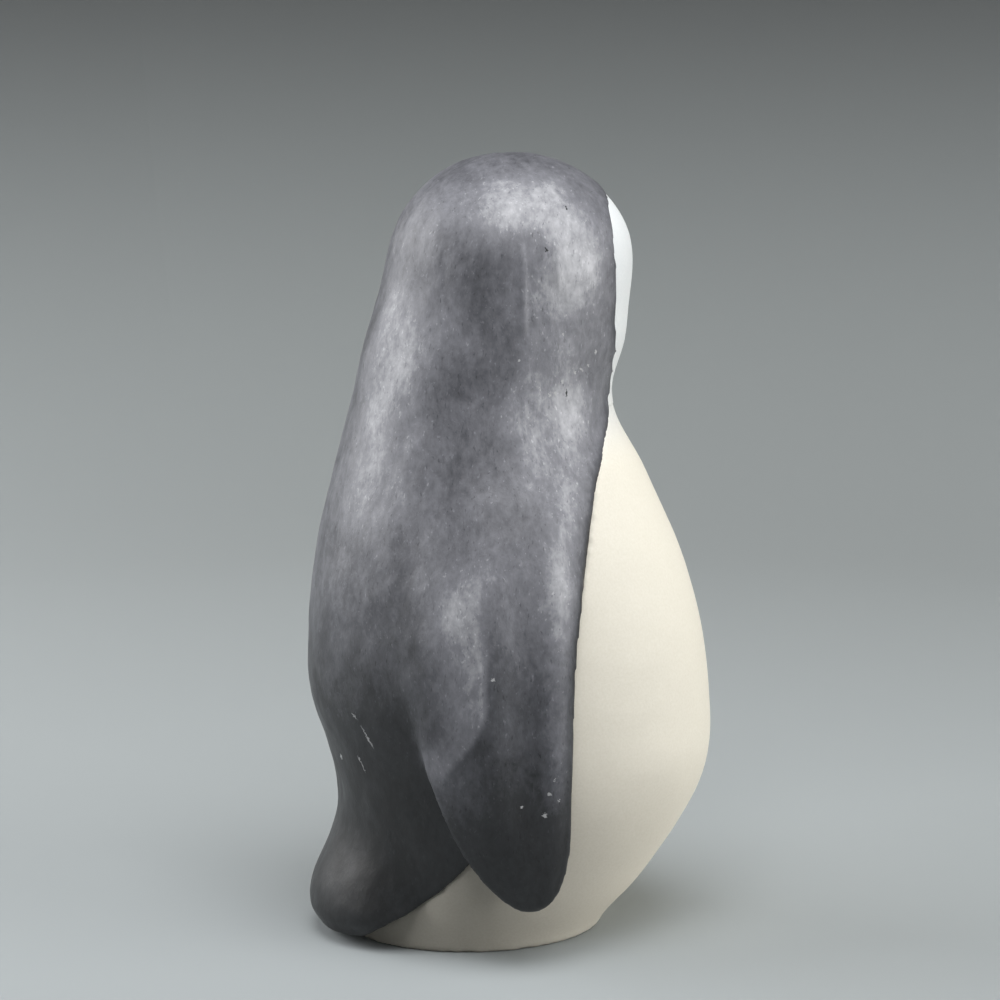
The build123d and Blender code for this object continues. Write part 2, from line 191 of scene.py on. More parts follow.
# Pale chips and dark pits on the coat's right side: degrees round, place along the brush, half width and half
# length in mm, and lean in degrees
CHIPS = (
    (-55.3, 121.7, 0.4, 0.45, 0),
    (-59.2, 119.0, 0.28, 0.3, 0),
    (-63.5, 118.4, 0.2, 0.7, 65),
    (-67.5, 117.9, 0.32, 0.3, 0),
    (-75.0, 116.3, 0.3, 0.45, 20),
    (-78.3, 114.1, 0.45, 0.4, 0),
    (-81.0, 113.8, 0.35, 0.3, 0),
    (-85.5, 115.0, 0.22, 0.5, 0),
    (-74.5, 125.6, 0.2, 0.3, 0),
    (-95.0, 120.8, 0.2, 0.3, 0),
    (-104.5, 60.9, 0.36, 0.3, 0),
    (-89.2, 37.8, 0.3, 0.4, 0),
    (-90.4, 33.4, 0.3, 0.45, 0),
    (-96.6, 35.2, 0.25, 0.3, 0),
    (-88.0, 40.6, 0.2, 0.25, 0),
    (-86.6, 36.2, 0.18, 0.3, 0),
    (-151.0, 49.8, 0.16, 0.8, 40),
    (-147.0, 45.8, 0.16, 2.4, 23),
    (-152.6, 39.4, 0.16, 1.7, 19),
    (-166.0, 39.0, 0.35, 0.6, 0),
)
PITS = (
    (-67.0, 151.0, 0.4, 0.5, 0),
    (-82.2, 142.2, 0.3, 0.5, 30),
    (-72.4, 114.0, 0.25, 0.8, 0),
)

# How deep a mark reaches into the coat and how ragged its outline is, in mm
MARK_DEPTH = 20.0
RAGGED = 1.2

# Upright ridges left in the paint on the head's right side: degrees round, lowest and highest point in mm
RIDGES = ((-93.0, 124.0, 144.0), (-77.5, 134.0, 146.0))
RIDGE_HEIGHT = 0.5
RIDGE_WIDTH = 0.6
RIDGE_FADE = 4.0

# The brush's marks on the coat: width and length in mm, and detail. Bristle marks are about 0.15 mm wide on
# the real paint and drawn wider, to show
BRUSH_MARKS = (
    ("dab", 1.4, 2.2, 3.0),
    ("bristle", 0.45, 0.7, 2.0),
    ("dry", 0.6, 1.0, 2.0),
    ("scratch", 0.5, 1.6, 2.0),
    ("patch", 7.0, 11.0, 3.0),
)

# From which noise value to which each kind of mark changes the tone, and the change at both
MARK_TONES = (
    ("patch", 0.3, 0.7, -0.08, 0.08),
    ("dab", 0.25, 0.75, -0.075, 0.075),
    ("bristle", 0.25, 0.75, -0.03, 0.03),
    ("dry", 0.64, 0.76, 0.0, 0.16),
    ("scratch", 0.64, 0.76, 0.0, -0.16),
)

# The coat's colours from black to grey, evenly spaced over the tones, which carry painted shade and painted
# sheen
COAT_SHADES = ("#0c0c0e", "#2a2b2e", "#57585e", "#85868d", "#c6c7cc")

# The heights over which the clay's relief ends below the face, and the beak's mouth line, in mm
SWELL_TOP = (86.0, 102.0)
MOUTH_WIDTH = 0.35
MOUTH_DEPTH = 0.3

# Smoothing: strengths, rounds, and how strongly points go back out, so that nothing shrinks
GRAIN_STRENGTH, GRAIN_PUSH = 0.5, 1.04
GRAIN_ROUNDS, COAT_ROUNDS = 6, 12
MELT_STRENGTH, MELT_ROUNDS = 0.6, 300
RIM_STRENGTH, RIM_PUSH = 0.6, 1.017
RIM_ROUNDS, TOUCH_UP_ROUNDS = 300, 60

# How far a point faces out from the axis, 1 straight out and -1 straight in, for each change: its limit, or
# where it starts and is full
HIDDEN_FACING = -0.3
RIM_FACING = 0.5
EDGE_FACING = 0.35
MELT_FACING = (0.35, 0.65)
BLADE_FACING = (0.3, 0.6)
OPEN_FACING = (0.2, 0.6)
LIFT_FACING = (0.0, 0.4)
RUN_FACING = (0.5, 0.85)

# Masks round the coat's edge: over how many neighbours they spread, and their gain
RIM_MASK = (12, 4.0)
EDGE_MASK = (40, 3.4)
CALM_MASK = (70, 1.6)

# Studio, in metres: the floor's flat radius, its sweep up into the wall, the wall's top, the height where the
# paper has turned grey, and towards where and from where to where its bounce gets full
FLOOR_RADIUS = 0.45
FLOOR_SIDES = 96
SWEEP_RADIUS = 0.55
SWEEP_STEPS = 12
WALL_TOP = 1.6
GREY_HEIGHT = 0.35
BOUNCE_WAY = (1, -1, 0)
BOUNCE_START, BOUNCE_FULL = -0.05, 0.1
AIR_STRENGTH = 0.15

# Soft lights: degrees round from the camera and up, reach, width and height in metres, and radiance
LIGHT_AIM = 80 * MM
LIGHTS = (
    ("light_above", 10, 66, 0.75, 0.56, 0.50, 6.0),
    ("light_left", -98, 24, 0.75, 0.80, 0.50, 4.2),
    ("light_right", 69, 12, 0.75, 0.40, 0.40, 5.4),
)

# Sockets of a Mix node for colours: its two colours and its result
MIX_A, MIX_B, MIX_OUT = 6, 7, 2


def linear(hex_colour):
    """An sRGB hex colour as linear red, green, blue and alpha."""
    channels = [int(hex_colour[i:i + 2], 16) / 255 for i in (1, 3, 5)]
    return [c / 12.92 if c <= 0.04045 else ((c + 0.055) / 1.055) ** 2.4 for c in channels] + [1.0]


def add(tree, kind, settings=None, inputs=None):
    """A new node with its settings, its inputs set to values or linked to other nodes' outputs."""
    node = tree.nodes.new(kind)
    for name, value in (settings or {}).items():
        setattr(node, name, value)
    for key, value in (inputs or {}).items():
        if isinstance(value, bpy.types.NodeSocket):
            tree.links.new(value, node.inputs[key])
        else:
            node.inputs[key].default_value = value
    return node


def smooth_step(values, low, high):
    """0 below low, 1 above high and a smooth rise between."""
    share = np.clip((values - low) / (high - low), 0, 1)
    return share * share * (3 - 2 * share)


def span_of(values, start, full, fading, end):
    """0 outside a span and 1 in its middle, with smooth flanks."""
    return smooth_step(values, start, full) * (1 - smooth_step(values, fading, end))


def new_material(name, **sockets):
    """A material with one Principled shader, and constants set on the shader's own sockets."""
    material = bpy.data.materials.new(name)
    material.use_nodes = True
    shader = material.node_tree.nodes["Principled BSDF"]
    for key, value in sockets.items():
        shader.inputs[key.replace("_", " ")].default_value = value
    return material, material.node_tree, shader


# Camera and studio

def photo_camera():
    """Camera at the photo's viewing angle: just behind the figure's right side, looking slightly down."""
    towards = Vector((-math.cos(CAMERA_YAW), math.sin(CAMERA_YAW), 0))
    right = Vector((-math.sin(CAMERA_YAW), -math.cos(CAMERA_YAW), 0))
    depth = CAMERA_REACH * math.cos(CAMERA_PITCH) + CAMERA_HEIGHT * math.sin(CAMERA_PITCH)
    aside = (AXIS_PIXEL - PICTURE_SIDE / 2) * depth / FOCAL_PIXELS
    look = -towards * math.cos(CAMERA_PITCH) - Vector((0, 0, math.sin(CAMERA_PITCH)))
    data = bpy.data.cameras.new("photo_camera")
    data.sensor_width = SENSOR_SIDE
    data.lens = FOCAL_PIXELS / PICTURE_SIDE * SENSOR_SIDE
    camera = bpy.data.objects.new("photo_camera", data)
    camera.location = towards * CAMERA_REACH - right * aside + Vector((0, 0, CAMERA_HEIGHT))
    camera.rotation_euler = look.to_track_quat("-Z", "Y").to_euler()
    bpy.context.scene.collection.objects.link(camera)
    bpy.context.scene.camera = camera


def soft_light(name, azimuth, elevation, reach, width, height, radiance):
    """Rectangular soft light that faces the figure's middle, turned round from the camera's side."""
    turn = math.radians(azimuth) - CAMERA_YAW
    rise = math.radians(elevation)
    way = Vector((-math.cos(turn) * math.cos(rise), -math.sin(turn) * math.cos(rise), math.sin(rise)))
    data = bpy.data.lights.new(name, "AREA")
    data.shape = "RECTANGLE"
    data.size = width
    data.size_y = height
    data.energy = radiance * math.pi * width * height
    light = bpy.data.objects.new(name, data)
    light.location = Vector((0, 0, LIGHT_AIM)) + way * reach
    light.rotation_euler = (-way).to_track_quat("-Z", "Y").to_euler()
    light.visible_camera = False
    bpy.context.scene.collection.objects.link(light)


def studio():
    """Pale floor that sweeps up into a plain grey wall, and soft lights at both sides and above."""
    profile = [(0.0, 0.0), (FLOOR_RADIUS, 0.0)]
    for step in range(1, SWEEP_STEPS + 1):
        angle = math.radians(90 * step / SWEEP_STEPS)
        out, up = math.sin(angle), 1 - math.cos(angle)
        profile.append((FLOOR_RADIUS + SWEEP_RADIUS * out, SWEEP_RADIUS * up))
    profile.append((FLOOR_RADIUS + SWEEP_RADIUS, WALL_TOP))
    mesh = bmesh.new()
    line = [mesh.verts.new((radius, 0, height)) for radius, height in profile]
    edges = [mesh.edges.new(pair) for pair in zip(line, line[1:])]
    bmesh.ops.spin(mesh, geom=line + edges, cent=(0, 0, 0), axis=(0, 0, 1), angle=math.tau, steps=FLOOR_SIDES)
    bmesh.ops.remove_doubles(mesh, verts=mesh.verts, dist=MERGE_DISTANCE)
    bmesh.ops.recalc_face_normals(mesh, faces=mesh.faces)
    data = bpy.data.meshes.new("studio_floor")
    mesh.to_mesh(data)
    mesh.free()
    data.shade_smooth()
    floor = bpy.data.objects.new("studio_floor", data)
    bpy.context.scene.collection.objects.link(floor)

    # Matt paper: pale where the figure stands, a plain mid grey on the wall behind. Light bounces off it fully
    # at the figure's front and left, and weakly elsewhere
    material, tree, shader = new_material("matt_paper_sweep", Roughness=0.9)
    place = add(tree, "ShaderNodeTexCoord").outputs["Object"]
    height = add(tree, "ShaderNodeSeparateXYZ", {}, {0: place}).outputs["Z"]
    share = add(tree, "ShaderNodeMapRange", {"interpolation_type": "SMOOTHSTEP"},
                {"Value": height, "From Min": 0.0, "From Max": GREY_HEIGHT}).outputs["Result"]
    tint = add(tree, "ShaderNodeMix", {"data_type": "RGBA"},
               {0: share, MIX_A: linear("#a4aaac"), MIX_B: linear("#444647")}).outputs[MIX_OUT]
    path = add(tree, "ShaderNodeLightPath").outputs
    seen = path["Is Camera Ray"]
    for ray in ("Is Glossy Ray", "Is Transmission Ray"):
        seen = add(tree, "ShaderNodeMath", {"operation": "MAXIMUM"}, {0: seen, 1: path[ray]}).outputs[0]
    ahead = add(tree, "ShaderNodeVectorMath", {"operation": "DOT_PRODUCT"},
                {0: place, 1: BOUNCE_WAY}).outputs["Value"]
    near = add(tree, "ShaderNodeMapRange", {"interpolation_type": "SMOOTHSTEP"},
               {"Value": ahead, "From Min": BOUNCE_START, "From Max": BOUNCE_FULL}).outputs["Result"]
    bounce = add(tree, "ShaderNodeMix", {"data_type": "RGBA"},
                 {0: near, MIX_A: linear("#4c4d4d"), MIX_B: linear("#e6e4dd")}).outputs[MIX_OUT]
    shown = add(tree, "ShaderNodeMix", {"data_type": "RGBA"},
                {0: seen, MIX_A: bounce, MIX_B: tint}).outputs[MIX_OUT]
    tree.links.new(shown, shader.inputs["Base Color"])
    data.materials.append(material)

    world = bpy.data.worlds.new("studio_air")
    world.use_nodes = True
    world.node_tree.nodes["Background"].inputs["Color"].default_value = linear("#9a9da0")
    world.node_tree.nodes["Background"].inputs["Strength"].default_value = AIR_STRENGTH
    bpy.context.scene.world = world
    bpy.context.scene.view_settings.view_transform = "Standard"

    for light in LIGHTS:
        soft_light(*light)


# Meshes

def own_copy(node):
    """A bmesh copy of a CAD node with its loose triangles joined up."""
    copy = bmesh.new()
    copy.from_mesh(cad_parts[node].data)
    bmesh.ops.remove_doubles(copy, verts=copy.verts, dist=MERGE_DISTANCE)
    copy.normal_update()
    return copy


def baked(piece):
    """The mesh of a piece with its modifiers run, which are then removed."""
    bpy.context.view_layer.update()
    graph = bpy.context.evaluated_depsgraph_get()
    mesh = bpy.data.meshes.new_from_object(piece.evaluated_get(graph))
    piece.modifiers.clear()
    old = piece.data
    piece.data = mesh
    mesh.name = piece.name
    if old.users == 0:
        bpy.data.meshes.remove(old)
    return mesh


def even_skin(name, nodes, grain, swell=0.0):
    """One piece with an even skin of quads over copies of CAD nodes, swollen to close their joints."""
    data = bpy.data.meshes.new(name)
    whole = bmesh.new()
    for node in nodes:
        copy = own_copy(node)
        for vert in copy.verts:
            vert.co += vert.normal * swell
        copy.to_mesh(data)
        copy.free()
        whole.from_mesh(data)
    whole.to_mesh(data)
    whole.free()
    piece = bpy.data.objects.new(name, data)
    bpy.context.scene.collection.objects.link(piece)
    skin = piece.modifiers.new("skin", "REMESH")
    skin.mode = "VOXEL"
    skin.voxel_size = grain
    baked(piece)
    return piece


def points_of(mesh):
    """A mesh's points as rows of x, y, z in mm."""
    points = np.empty(len(mesh.vertices) * 3, np.float32)
    mesh.vertices.foreach_get("co", points)
    return points.reshape(-1, 3).astype(float) / MM


def normals_of(mesh):
    """A mesh's point normals as rows."""
    normals = np.empty(len(mesh.vertices) * 3, np.float32)
    mesh.vertices.foreach_get("normal", normals)
    return normals.reshape(-1, 3).astype(float)


def set_points(mesh, points):
    """Moves a mesh's points to rows of x, y, z in mm, no further out than the solids reach."""
    low, high = (np.array(corner) / MM for corner in cad_box)
    mesh.vertices.foreach_set("co", (np.clip(points, low, high) * MM).astype(np.float32).ravel())
    mesh.update()


def neighbours(mesh):
    """The two ends of each edge of a mesh, both ways round, and how many edges each point has."""
    edges = np.empty(len(mesh.edges) * 2, np.int32)
    mesh.edges.foreach_get("vertices", edges)
    edges = edges.reshape(-1, 2)
    here = np.concatenate([edges[:, 0], edges[:, 1]])
    there = np.concatenate([edges[:, 1], edges[:, 0]])
    return here, there, np.maximum(np.bincount(here, minlength=len(mesh.vertices)), 1)


def spread(mesh, chosen, rounds, gain):
    """Mask that is strongest at the chosen points of a mesh and fades out over their neighbours."""
    here, there, degree = neighbours(mesh)
    values = chosen.astype(float)
    for _ in range(rounds):
        values = (values + np.bincount(here, values[there], len(values)) / degree) / 2
    return np.clip(gain * values, 0, 1)


def relax(mesh, strength, rounds, push=0.0):
    """Smooths a mesh by moving points to the middle of their neighbours, then back out by push."""
    points = points_of(mesh)
    count = len(points)
    here, there, degree = neighbours(mesh)
    strength = np.broadcast_to(strength, count)
    used = strength[here] > 0
    here, there, degree = here[used], there[used], degree[:, None]
    strength = strength[:, None]
    for _ in range(rounds):
        for step in (strength, -push * strength):
            if np.any(step):
                sums = [np.bincount(here, points[there, axis], count) for axis in range(3)]
                points += step * (np.stack(sums, 1) / degree - points)
    set_points(mesh, points)


def smooth_grain(mesh, rounds):
    """Takes the steps of its grain out of a skin and keeps its size."""
    relax(mesh, GRAIN_STRENGTH, rounds, GRAIN_PUSH)


def move_out(mesh, distance):
    """Moves a mesh's points out along their normals, by one distance in mm or one for each point."""
    set_points(mesh, points_of(mesh) + normals_of(mesh) * np.reshape(distance, (-1, 1)))


def round_axis(points):
    """Each point's angle round the figure's axis from the front, and its distance from the axis in mm."""
    x, y = points[:, 0], points[:, 1]
    return np.arctan2(x, -y - AXIS_FORWARD), np.hypot(x, y + AXIS_FORWARD)


def set_round_axis(mesh, points, angle, radius):
    """Moves a mesh's points round the figure's axis and out from it, at their heights."""
    points[:, 0] = radius * np.sin(angle)
    points[:, 1] = -radius * np.cos(angle) - AXIS_FORWARD
    set_points(mesh, points)


def facing_out(mesh):
    """How far each point of a mesh faces away from the figure's axis: 1 straight out, -1 straight in."""
    points = points_of(mesh)
    axis = np.zeros_like(points)
    axis[:, 1] = -AXIS_FORWARD
    axis[:, 2] = np.minimum(points[:, 2], DOME_START)
    away = points - axis
    away /= np.linalg.norm(away, axis=1, keepdims=True)
    return (normals_of(mesh) * away).sum(1)


def thin_inside(piece):
    """Coarser triangles on the hidden inner side of a skin, so that the whole piece stays light."""
    hidden = facing_out(piece.data) < HIDDEN_FACING
    group = piece.vertex_groups.new(name="inside")
    group.add(np.flatnonzero(hidden).tolist(), 1.0, "REPLACE")
    thin = piece.modifiers.new("thin", "DECIMATE")
    thin.ratio = 1 - (1 - HIDDEN_SHARE) * hidden.mean()
    thin.vertex_group = group.name
    baked(piece)
    piece.vertex_groups.clear()


def note(mesh, name, kind, field, values):
    """Keeps a value for each point of a mesh, for its node trees and materials."""
    attribute = mesh.attributes.new(name, kind, "POINT")
    attribute.data.foreach_set(field, np.ascontiguousarray(values, np.float32).ravel())


def stroke_places(mesh):
    """Where each point lies for a brush: round the figure's axis and along the height, in mm."""
    points = points_of(mesh)
    height = points[:, 2]
    angle, _ = round_axis(points)
    dome = np.arcsin(np.clip((height - DOME_START) / DOME_RADIUS, 0, 1)) * DOME_RADIUS
    along = np.minimum(height, DOME_START) + dome
    return np.stack([STROKE_RADIUS * np.cos(angle), STROKE_RADIUS * np.sin(angle), along], 1)


def relief_tree(name, layers):
    """Node tree that lifts and sinks a painted skin by layers of noise drawn out along the brush."""
    tree = bpy.data.node_groups.new(name, "GeometryNodeTree")
    sockets = tree.interface
    sockets.new_socket("Skin", in_out="INPUT", socket_type="NodeSocketGeometry")
    sockets.new_socket("Skin", in_out="OUTPUT", socket_type="NodeSocketGeometry")
    sockets.new_socket("Paint", in_out="INPUT", socket_type="NodeSocketMaterial")
    for layer in layers:
        for size in ("Width", "Length", "Depth"):
            sockets.new_socket(f"{layer} {size}", in_out="INPUT", socket_type="NodeSocketFloat")
    entry = add(tree, "NodeGroupInput").outputs
    stroke = add(tree, "GeometryNodeInputNamedAttribute", {"data_type": "FLOAT_VECTOR"},
                 {"Name": "stroke"}).outputs["Attribute"]
    depth = add(tree, "GeometryNodeInputNamedAttribute", {"data_type": "FLOAT"},
                {"Name": "open"}).outputs["Attribute"]
    normal = add(tree, "GeometryNodeInputNormal").outputs["Normal"]
    total = None
    for layer in layers:
        width, length = entry[f"{layer} Width"], entry[f"{layer} Length"]
        size = add(tree, "ShaderNodeCombineXYZ", {}, {"X": width, "Y": width, "Z": length}).outputs[0]
        place = add(tree, "ShaderNodeVectorMath", {"operation": "DIVIDE"}, {0: stroke, 1: size}).outputs[0]
        noise = add(tree, "ShaderNodeTexNoise", {},
                    {"Vector": place, "Scale": 1.0, "Detail": 2.0, "Roughness": 0.45}).outputs["Fac"]
        about = add(tree, "ShaderNodeMath", {"operation": "SUBTRACT"}, {0: noise, 1: 0.5}).outputs[0]
        sunk = add(tree, "ShaderNodeMath", {"operation": "MULTIPLY"},
                   {0: about, 1: entry[f"{layer} Depth"]}).outputs[0]
        total = sunk if total is None else add(tree, "ShaderNodeMath", {"operation": "ADD"},
                                               {0: total, 1: sunk}).outputs[0]
    weighed = add(tree, "ShaderNodeMath", {"operation": "MULTIPLY"}, {0: total, 1: depth}).outputs[0]
    inward = add(tree, "ShaderNodeMath", {"operation": "MULTIPLY"}, {0: weighed, 1: -MM}).outputs[0]
    shift = add(tree, "ShaderNodeVectorMath", {"operation": "SCALE"},
                {0: normal, "Scale": inward}).outputs[0]
    moved = add(tree, "GeometryNodeSetPosition", {},
                {"Geometry": entry["Skin"], "Offset": shift}).outputs[0]
    whole = add(tree, "GeometryNodeRealizeInstances", {}, {"Geometry": moved}).outputs[0]
    painted = add(tree, "GeometryNodeSetMaterial", {},
                  {"Geometry": whole, "Material": entry["Paint"]}).outputs[0]
    add(tree, "NodeGroupOutput", {}, {"Skin": painted})
    return tree


def run_tree(piece, tree, inputs):
    """Runs a node tree on a piece with its named inputs, and keeps the result as a plain mesh."""
    modifier = piece.modifiers.new(tree.name, "NODES")
    modifier.node_group = tree
    for socket in tree.interface.items_tree:
        if socket.in_out == "INPUT" and socket.name in inputs:
            modifier[socket.identifier] = inputs[socket.name]
    mesh = baked(piece)
    set_points(mesh, points_of(mesh))


def finish_piece(piece, material, slot, *nodes):
    """Material, body and the CAD nodes that a piece stands for. The slot argument is not used."""
    piece.data.materials.clear()
    piece.data.materials.append(material)
    piece.data.shade_smooth()
    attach(piece, "root")
    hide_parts(*nodes)


def dress(material, *nodes):
    """Gives CAD nodes that stay as they are their material."""
    for node in nodes:
        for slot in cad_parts[node].material_slots:
            slot.material = material


# Materials

def marked(tree, place, marks):
    """Mask of small marks on the coat: 1 inside them and 0 outside."""
    mask = None
    for turn, along, half_width, half_length, lean in marks:
        turn = math.radians(turn)
        centre = (STROKE_RADIUS * math.cos(turn), STROKE_RADIUS * math.sin(turn), along)
        centre = [side + RAGGED / 2 for side in centre]
        spot = add(tree, "ShaderNodeMapping", {"vector_type": "TEXTURE"},
                   {"Vector": place, "Location": centre, "Rotation": (math.radians(lean), 0, turn),
                    "Scale": (MARK_DEPTH, half_width, half_length)}).outputs[0]
        away = add(tree, "ShaderNodeVectorMath", {"operation": "LENGTH"}, {0: spot}).outputs["Value"]
        inside = add(tree, "ShaderNodeMapRange", {"interpolation_type": "SMOOTHSTEP"},
                     {"Value": away, "From Min": 0.7, "From Max": 1.2,
                      "To Min": 1.0, "To Max": 0.0}).outputs["Result"]
        mask = inside if mask is None else add(tree, "ShaderNodeMath", {"operation": "MAXIMUM"},
                                               {0: mask, 1: inside}).outputs[0]
    return mask


def brushed_acrylic():
    """Black acrylic dabbed and brushed on thick over clay, under a satin varnish. The eye gets a soft
    sheen, a stipple of short upright dabs, painted sheen and painted shade in its tone, and a few chips and
    pits."""
    material, tree, shader = new_material("brushed_black_acrylic", IOR=1.45,
                                          Coat_Weight=0.3, Coat_Roughness=0.4)
    stroke = add(tree, "ShaderNodeAttribute", {"attribute_name": "stroke"}).outputs["Vector"]
    place = add(tree, "ShaderNodeTexCoord").outputs["Object"]
    sway = add(tree, "ShaderNodeTexNoise", {},
               {"Vector": place, "Scale": 1 / (12 * MM), "Detail": 2.0}).outputs["Color"]
    swayed = add(tree, "ShaderNodeVectorMath", {"operation": "MULTIPLY_ADD"},
                 {0: sway, 1: (3 * MM, 3 * MM, 3 * MM), 2: place}).outputs[0]
    layers = {}
    for name, width, length, detail in BRUSH_MARKS:
        drawn = add(tree, "ShaderNodeVectorMath", {"operation": "MULTIPLY"},
                    {0: swayed, 1: [1 / (size * MM) for size in (width, width, length)]}).outputs[0]
        layers[name] = add(tree, "ShaderNodeTexNoise", {},
                           {"Vector": drawn, "Scale": 1.0, "Detail": detail}).outputs["Fac"]
    tone = add(tree, "ShaderNodeAttribute", {"attribute_name": "tone"}).outputs["Fac"]
    for name, start, stop, least, most in MARK_TONES:
        change = add(tree, "ShaderNodeMapRange", {},
                     {"Value": layers[name], "From Min": start, "From Max": stop,
                      "To Min": least, "To Max": most}).outputs["Result"]
        tone = add(tree, "ShaderNodeMath", {"operation": "ADD"}, {0: tone, 1: change}).outputs[0]
    ramp = add(tree, "ShaderNodeValToRGB", {}, {"Fac": tone})
    stops = ramp.color_ramp.elements
    for _ in COAT_SHADES[2:]:
        stops.new(0.5)
    for stop, position, shade in zip(stops, np.linspace(0, 1, len(COAT_SHADES)), COAT_SHADES):
        stop.position = position
        stop.color = linear(shade)
    ragged = add(tree, "ShaderNodeTexNoise", {},
                 {"Vector": stroke, "Scale": 2.5, "Detail": 2.0}).outputs["Color"]
    torn = add(tree, "ShaderNodeVectorMath", {"operation": "MULTIPLY_ADD"},
               {0: ragged, 1: (RAGGED, RAGGED, RAGGED), 2: stroke}).outputs[0]
    chipped = add(tree, "ShaderNodeMix", {"data_type": "RGBA"},
                  {0: marked(tree, torn, CHIPS), MIX_A: ramp.outputs["Color"],
                   MIX_B: linear("#b6b7b9")}).outputs[MIX_OUT]
    colour = add(tree, "ShaderNodeMix", {"data_type": "RGBA"},
                 {0: marked(tree, torn, PITS), MIX_A: chipped, MIX_B: linear("#26272a")}).outputs[MIX_OUT]
    tree.links.new(colour, shader.inputs["Base Color"])
    gloss = add(tree, "ShaderNodeMapRange", {}, {"Value": layers["patch"], "From Min": 0.3, "From Max": 0.7,
                                                 "To Min": 0.64, "To Max": 0.48}).outputs["Result"]
    tree.links.new(gloss, shader.inputs["Roughness"])
    ridged = add(tree, "ShaderNodeBump", {}, {"Height": layers["dab"], "Distance": 0.1 * MM,
                                              "Strength": 0.5}).outputs["Normal"]
    combed = add(tree, "ShaderNodeBump", {}, {"Height": layers["bristle"], "Distance": 0.06 * MM,
                                              "Strength": 0.5, "Normal": ridged}).outputs["Normal"]
    tree.links.new(combed, shader.inputs["Normal"])
    tree.links.new(combed, shader.inputs["Coat Normal"])
    return material


def pale_emulsion(name, roughness):
    """Emulsion over fired clay, cream below and bluish white on the head: an eggshell sheen, a fine speckle
    and faint brush lines."""
    material, tree, shader = new_material(name, IOR=1.45, Roughness=roughness)
    place = add(tree, "ShaderNodeTexCoord").outputs["Object"]
    height = add(tree, "ShaderNodeSeparateXYZ", {}, {0: place}).outputs["Z"]
    speckle = add(tree, "ShaderNodeTexNoise", {},
                  {"Vector": place, "Scale": 1 / (0.5 * MM), "Detail": 2.0}).outputs["Fac"]
    cream = add(tree, "ShaderNodeMix", {"data_type": "RGBA"},
                {0: speckle, MIX_A: linear("#e6e1d2"), MIX_B: linear("#f4f0e4")}).outputs[MIX_OUT]
    white = add(tree, "ShaderNodeMix", {"data_type": "RGBA"},
                {0: speckle, MIX_A: linear("#e2e7ea"), MIX_B: linear("#eef2f4")}).outputs[MIX_OUT]
    share = add(tree, "ShaderNodeMapRange", {"interpolation_type": "SMOOTHSTEP"},
                {"Value": height, "From Min": CREAM_TOP * MM,
                 "From Max": WHITE_FOOT * MM}).outputs["Result"]
    tone = add(tree, "ShaderNodeMix", {"data_type": "RGBA"},
               {0: share, MIX_A: cream, MIX_B: white}).outputs[MIX_OUT]
    tree.links.new(tone, shader.inputs["Base Color"])
    drawn = add(tree, "ShaderNodeVectorMath", {"operation": "MULTIPLY"},
                {0: place, 1: (1 / (5 * MM), 1 / (5 * MM), 1 / (0.7 * MM))}).outputs[0]
    lines = add(tree, "ShaderNodeTexNoise", {},
                {"Vector": drawn, "Scale": 1.0, "Detail": 2.0}).outputs["Fac"]
    brushed = add(tree, "ShaderNodeBump", {},
                  {"Height": lines, "Distance": 0.03 * MM, "Strength": 0.5}).outputs[0]
    grain = add(tree, "ShaderNodeBump", {}, {"Height": speckle, "Distance": 0.02 * MM, "Strength": 0.5,
                                             "Normal": brushed}).outputs[0]
    tree.links.new(grain, shader.inputs["Normal"])
    return material


def horn_paint():
    """Black satin paint on the beak, with a fine mottle in its tone and its surface."""
    material, tree, shader = new_material("satin_horn_black_paint", IOR=1.5, Roughness=0.38)
    place = add(tree, "ShaderNodeTexCoord").outputs["Object"]
    mottle = add(tree, "ShaderNodeTexNoise", {},
                 {"Vector": place, "Scale": 1 / (1.2 * MM), "Detail": 3.0}).outputs["Fac"]
    tone = add(tree, "ShaderNodeMix", {"data_type": "RGBA"},
               {0: mottle, MIX_A: linear("#161517"), MIX_B: linear("#3a3836")}).outputs[MIX_OUT]
    tree.links.new(tone, shader.inputs["Base Color"])
    bump = add(tree, "ShaderNodeBump", {},
               {"Height": mottle, "Distance": 0.05 * MM, "Strength": 0.5}).outputs[0]
    tree.links.new(bump, shader.inputs["Normal"])
    return material


def glossy_bead():
    """Black glass bead, fire-polished: a hard small highlight and a hint of haze."""
    material, tree, shader = new_material("fire_polished_black_glass", IOR=1.52)
    shader.inputs["Base Color"].default_value = linear("#08080a")
    place = add(tree, "ShaderNodeTexCoord").outputs["Object"]
    haze = add(tree, "ShaderNodeTexNoise", {}, {"Vector": place, "Scale": 1 / (0.8 * MM)}).outputs["Fac"]
    gloss = add(tree, "ShaderNodeMapRange", {},
                {"Value": haze, "To Min": 0.04, "To Max": 0.14}).outputs["Result"]
    tree.links.new(gloss, shader.inputs["Roughness"])
    return material


def pressed_felt():
    """Dark wool felt: matt, with tangled fibres about 0.3 mm apart."""
    material, tree, shader = new_material("pressed_wool_felt", Roughness=0.95, Sheen_Weight=0.3)
    place = add(tree, "ShaderNodeTexCoord").outputs["Object"]
    fibre = add(tree, "ShaderNodeTexNoise", {},
                {"Vector": place, "Scale": 1 / (0.3 * MM), "Detail": 4.0, "Distortion": 1.5}).outputs["Fac"]
    tone = add(tree, "ShaderNodeMix", {"data_type": "RGBA"},
               {0: fibre, MIX_A: linear("#262825"), MIX_B: linear("#4d514c")}).outputs[MIX_OUT]
    tree.links.new(tone, shader.inputs["Base Color"])
    bump = add(tree, "ShaderNodeBump", {}, {"Height": fibre, "Distance": 0.2 * MM}).outputs[0]
    tree.links.new(bump, shader.inputs["Normal"])
    return material


